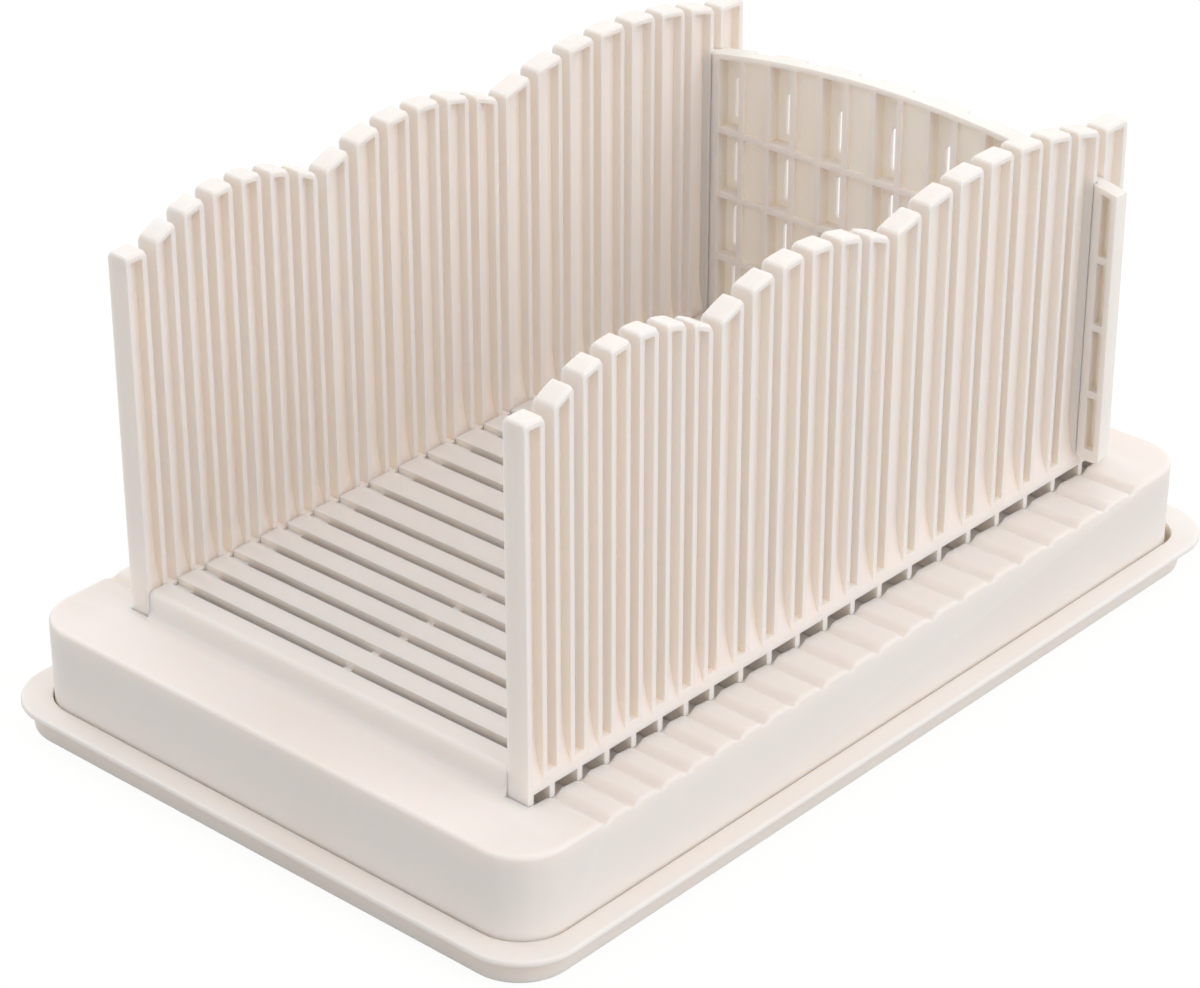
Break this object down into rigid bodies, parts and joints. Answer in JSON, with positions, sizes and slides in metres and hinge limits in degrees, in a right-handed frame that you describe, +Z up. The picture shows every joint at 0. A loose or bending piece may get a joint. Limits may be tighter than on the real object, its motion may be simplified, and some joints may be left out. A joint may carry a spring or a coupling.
{
  "type": "bread slicer guide",
  "caption": "Bread slicing guide: slotted bed between two arched comb walls, ribbed stop plate in the end slots, standing in a shallow crumb tray.",
  "frame": {"origin": "middle of the crumb tray's outline, on the surface that the tray stands on", "axes": "+Z up, +X towards the right-hand comb wall, +Y from the thin-slice end to the stop plate"},
  "size_m": [0.193, 0.2956, 0.1448],
  "materials": {
    "tray_plastic": "satin ivory",
    "base_plastic": "satin ivory",
    "wall_plastic": "satin ivory",
    "plate_plastic": "satin ivory"
  },
  "bodies": {
    "tray": {"crumb_tray": "tray_plastic"},
    "base": {"base_housing": "base_plastic", "right_wall": "wall_plastic", "left_wall": "wall_plastic"},
    "plate": {"stop_plate": "plate_plastic"}
  },
  "joints": [
    {"name": "base_lift", "type": "slide", "parent": "tray", "child": "base", "axis": [0, 0, 1], "range_m": [0, 0.04]},
    {"name": "plate_lift", "type": "slide", "parent": "base", "child": "plate", "axis": [0, 0, 1], "range_m": [0, 0.11]}
  ]
}
